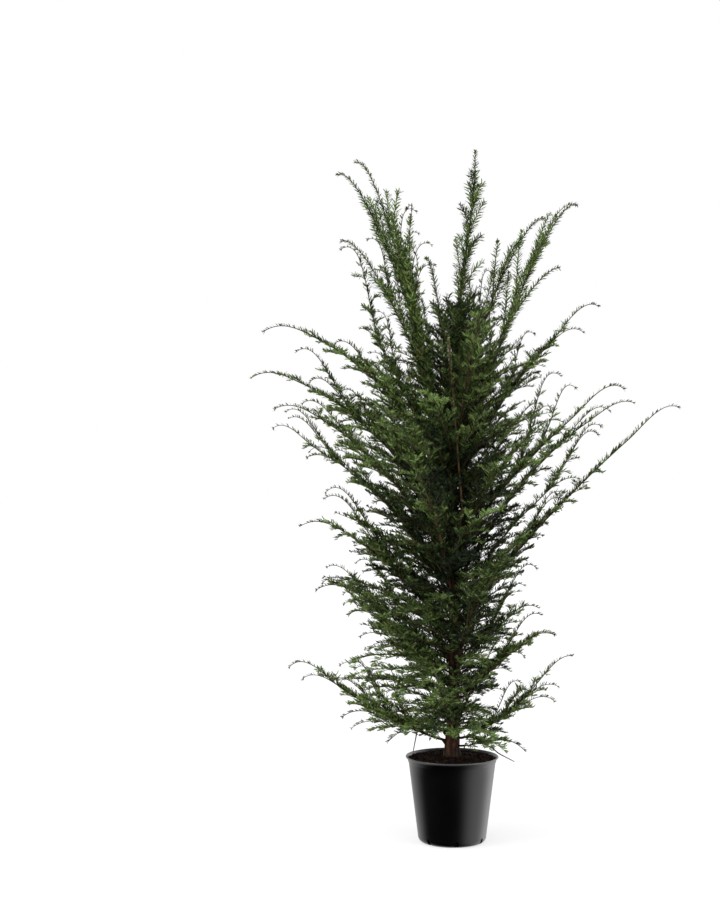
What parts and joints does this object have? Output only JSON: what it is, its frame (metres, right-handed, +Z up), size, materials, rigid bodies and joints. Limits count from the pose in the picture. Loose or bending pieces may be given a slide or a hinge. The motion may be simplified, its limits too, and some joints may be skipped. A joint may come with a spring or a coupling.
{
  "type": "english yew in a nursery pot",
  "caption": "English yew with upswept, feathery dark green branches on one upright trunk, planted in a round black plastic nursery pot.",
  "frame": {"origin": "centre of the pot's flat underside", "axes": "+Z up along the trunk, +X to the right and -Y towards the viewer in the picture's view"},
  "size_m": [1.1133, 0.8351, 1.7871],
  "materials": {
    "foliage": "matt",
    "bark": "flaky",
    "soil": "loose",
    "pot": "satin"
  },
  "bodies": {
    "root": {"bough_back_middle": "bark", "bough_front_cane": "bark", "bough_front_middle": "bark", "bough_left_crest": "bark", "bough_left_foot": "bark", "bough_left_leader": "bark", "bough_left_long": "bark", "bough_left_middle": "bark", "bough_left_sweep": "bark", "bough_right_foot": "bark", "bough_right_leader": "bark", "bough_right_long": "bark", "bough_right_middle": "bark", "bough_right_upper": "bark", "bough_right_waist": "bark", "foliage_back_foot": "foliage", "foliage_back_left": "foliage", "foliage_back_low": "foliage", "foliage_back_middle": "foliage", "foliage_back_right": "foliage", "foliage_back_shoulder": "foliage", "foliage_back_upper": "foliage", "foliage_front_cane": "foliage", "foliage_front_foot": "foliage", "foliage_front_left": "foliage", "foliage_front_low": "foliage", "foliage_front_middle": "foliage", "foliage_front_right": "foliage", "foliage_front_upper": "foliage", "foliage_leader": "foliage", "foliage_left_crest": "foliage", "foliage_left_foot": "foliage", "foliage_left_heel": "foliage", "foliage_left_leader": "foliage", "foliage_left_long": "foliage", "foliage_left_low": "foliage", "foliage_left_middle": "foliage", "foliage_left_shoulder": "foliage", "foliage_left_skirt": "foliage", "foliage_left_spire": "foliage", "foliage_left_sweep": "foliage", "foliage_left_tuft": "foliage", "foliage_left_waist": "foliage", "foliage_right_bend": "foliage", "foliage_right_crest": "foliage", "foliage_right_foot": "foliage", "foliage_right_knee": "foliage", "foliage_right_leader": "foliage", "foliage_right_long": "foliage", "foliage_right_low": "foliage", "foliage_right_middle": "foliage", "foliage_right_shoulder": "foliage", "foliage_right_spire": "foliage", "foliage_right_sprig": "foliage", "foliage_right_upper": "foliage", "foliage_right_waist": "foliage", "pot": "pot", "soil": "soil", "trunk": "bark"}
  },
  "joints": []
}
